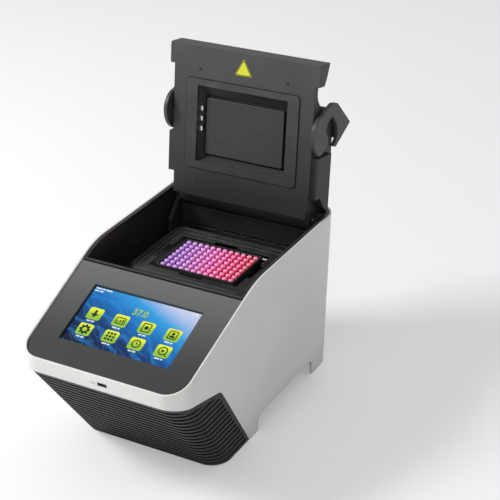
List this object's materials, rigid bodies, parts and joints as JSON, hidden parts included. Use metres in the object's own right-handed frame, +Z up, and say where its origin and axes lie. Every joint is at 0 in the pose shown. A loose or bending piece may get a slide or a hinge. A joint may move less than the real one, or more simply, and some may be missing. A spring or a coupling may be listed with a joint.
{
  "type": "thermal cycler",
  "caption": "Bench thermal cycler with an open heated lid on a rear hinge, hooked side levers, a tube block in a dark cavity, a sloping touch screen panel and a louvred front.",
  "frame": {"origin": "middle of the footprint of the open instrument, on the surface that it stands on", "axes": "+Z up, the front panel faces -Y, +X to the right seen from the front"},
  "size_m": [0.235, 0.4352, 0.4269],
  "materials": {
    "case_white": "fine satin moulded white",
    "panel_charcoal": "fine matt paint",
    "screen_glass": "smooth glass over the lit display",
    "display": "metal-backed display",
    "circuit_board": "green solder mask",
    "socket_metal": "stamped metal",
    "grille_black": "textured black",
    "deck_black": "fine textured black",
    "rear_metal": "powder coat",
    "foot_rubber": "matt rubber",
    "socket_black": "moulded black",
    "block_aluminium": "machined",
    "tube_plastic": "coloured polypropylene",
    "block_frame": "moulded",
    "seal_rubber": "silicone",
    "module_ceramic": "white ceramic",
    "sink_aluminium": "extruded",
    "fan_plastic": "moulded",
    "supply_metal": "folded sheet",
    "shaft_steel": "ground",
    "lid_black": "fine textured",
    "lid_seal": "smooth silicone",
    "housing_black": "moulded",
    "terminal_metal": "plated",
    "insulation": "felt",
    "warning_yellow": "printed label",
    "screw_black": "black oxide",
    "plate_dark": "dark anodised, fine brushed",
    "lever_grey": "fine textured"
  },
  "bodies": {
    "base": {"outer_shell": "case_white", "front_panel": "panel_charcoal", "screen_glass": "screen_glass", "display_module": "display", "display_board": "circuit_board", "usb_socket": "socket_metal", "front_grille": "grille_black", "deck_cover": "deck_black", "rear_plate": "rear_metal", "base_pan": "rear_metal", "rubber_feet": "foot_rubber", "power_inlet": "socket_black", "fuse_holder": "socket_black", "switch_housing": "socket_black", "data_socket": "socket_metal", "sample_block": "block_aluminium", "tube_strips": "tube_plastic", "block_frame": "block_frame", "block_seal": "seal_rubber", "peltier_modules": "module_ceramic", "heat_sink": "sink_aluminium", "fan_frames": "fan_plastic", "sink_brackets": "rear_metal", "power_supply": "supply_metal", "main_board": "circuit_board", "hinge_cheeks": "deck_black", "hinge_shaft": "shaft_steel", "hinge_washers": "shaft_steel", "ball_catches": "shaft_steel"},
    "lid": {"lid_cover": "lid_black", "lid_plate": "lid_black", "lid_seal": "lid_seal", "heater_housing": "housing_black", "heater_terminals": "terminal_metal", "lid_insulation": "insulation", "warning_triangle": "warning_yellow", "lid_screws": "screw_black", "pivot_pins": "shaft_steel"},
    "plate": {"heated_plate": "plate_dark", "heater_mat": "seal_rubber", "guide_pins": "shaft_steel"},
    "latch": {"lever_left": "lever_grey", "lever_right": "lever_grey", "handle_bar": "lever_grey"},
    "fan_left": {"fan_rotor_left": "fan_plastic"},
    "fan_right": {"fan_rotor_right": "fan_plastic"},
    "rocker": {"power_rocker": "socket_black"},
    "fuse": {"fuse_drawer": "socket_black"}
  },
  "joints": [
    {"name": "lid_hinge", "type": "hinge", "parent": "base", "child": "lid", "pos_m": [0, 0.1388, 0.2187], "axis": [1, 0, 0], "range_deg": [0, 99.11]},
    {"name": "lever_turn", "type": "hinge", "parent": "lid", "child": "latch", "pos_m": [0, 0.13656, 0.33482], "axis": [1, 0, 0], "range_deg": [0, 56]},
    {"name": "plate_press", "type": "slide", "parent": "lid", "child": "plate", "axis": [0, -0.9874, 0.1583], "range_m": [0, 0.0105]},
    {"name": "fan_left_spin", "type": "hinge", "parent": "base", "child": "fan_left", "pos_m": [-0.039, 0.037, 0.088], "axis": [0, 0, 1], "continuous": true},
    {"name": "fan_right_spin", "type": "hinge", "parent": "base", "child": "fan_right", "pos_m": [0.039, 0.037, 0.088], "axis": [0, 0, 1], "continuous": true},
    {"name": "power_switch", "type": "hinge", "parent": "base", "child": "rocker", "pos_m": [-0.026, 0.1615, 0.054], "axis": [1, 0, 0], "range_deg": [0, 8]},
    {"name": "fuse_pull", "type": "slide", "parent": "base", "child": "fuse", "axis": [0, 1, 0], "range_m": [0, 0.018]}
  ],
  "couplings": [
    {"joint": "plate_press", "follows": "lever_turn", "m_per_rad": 0.01074}
  ]
}
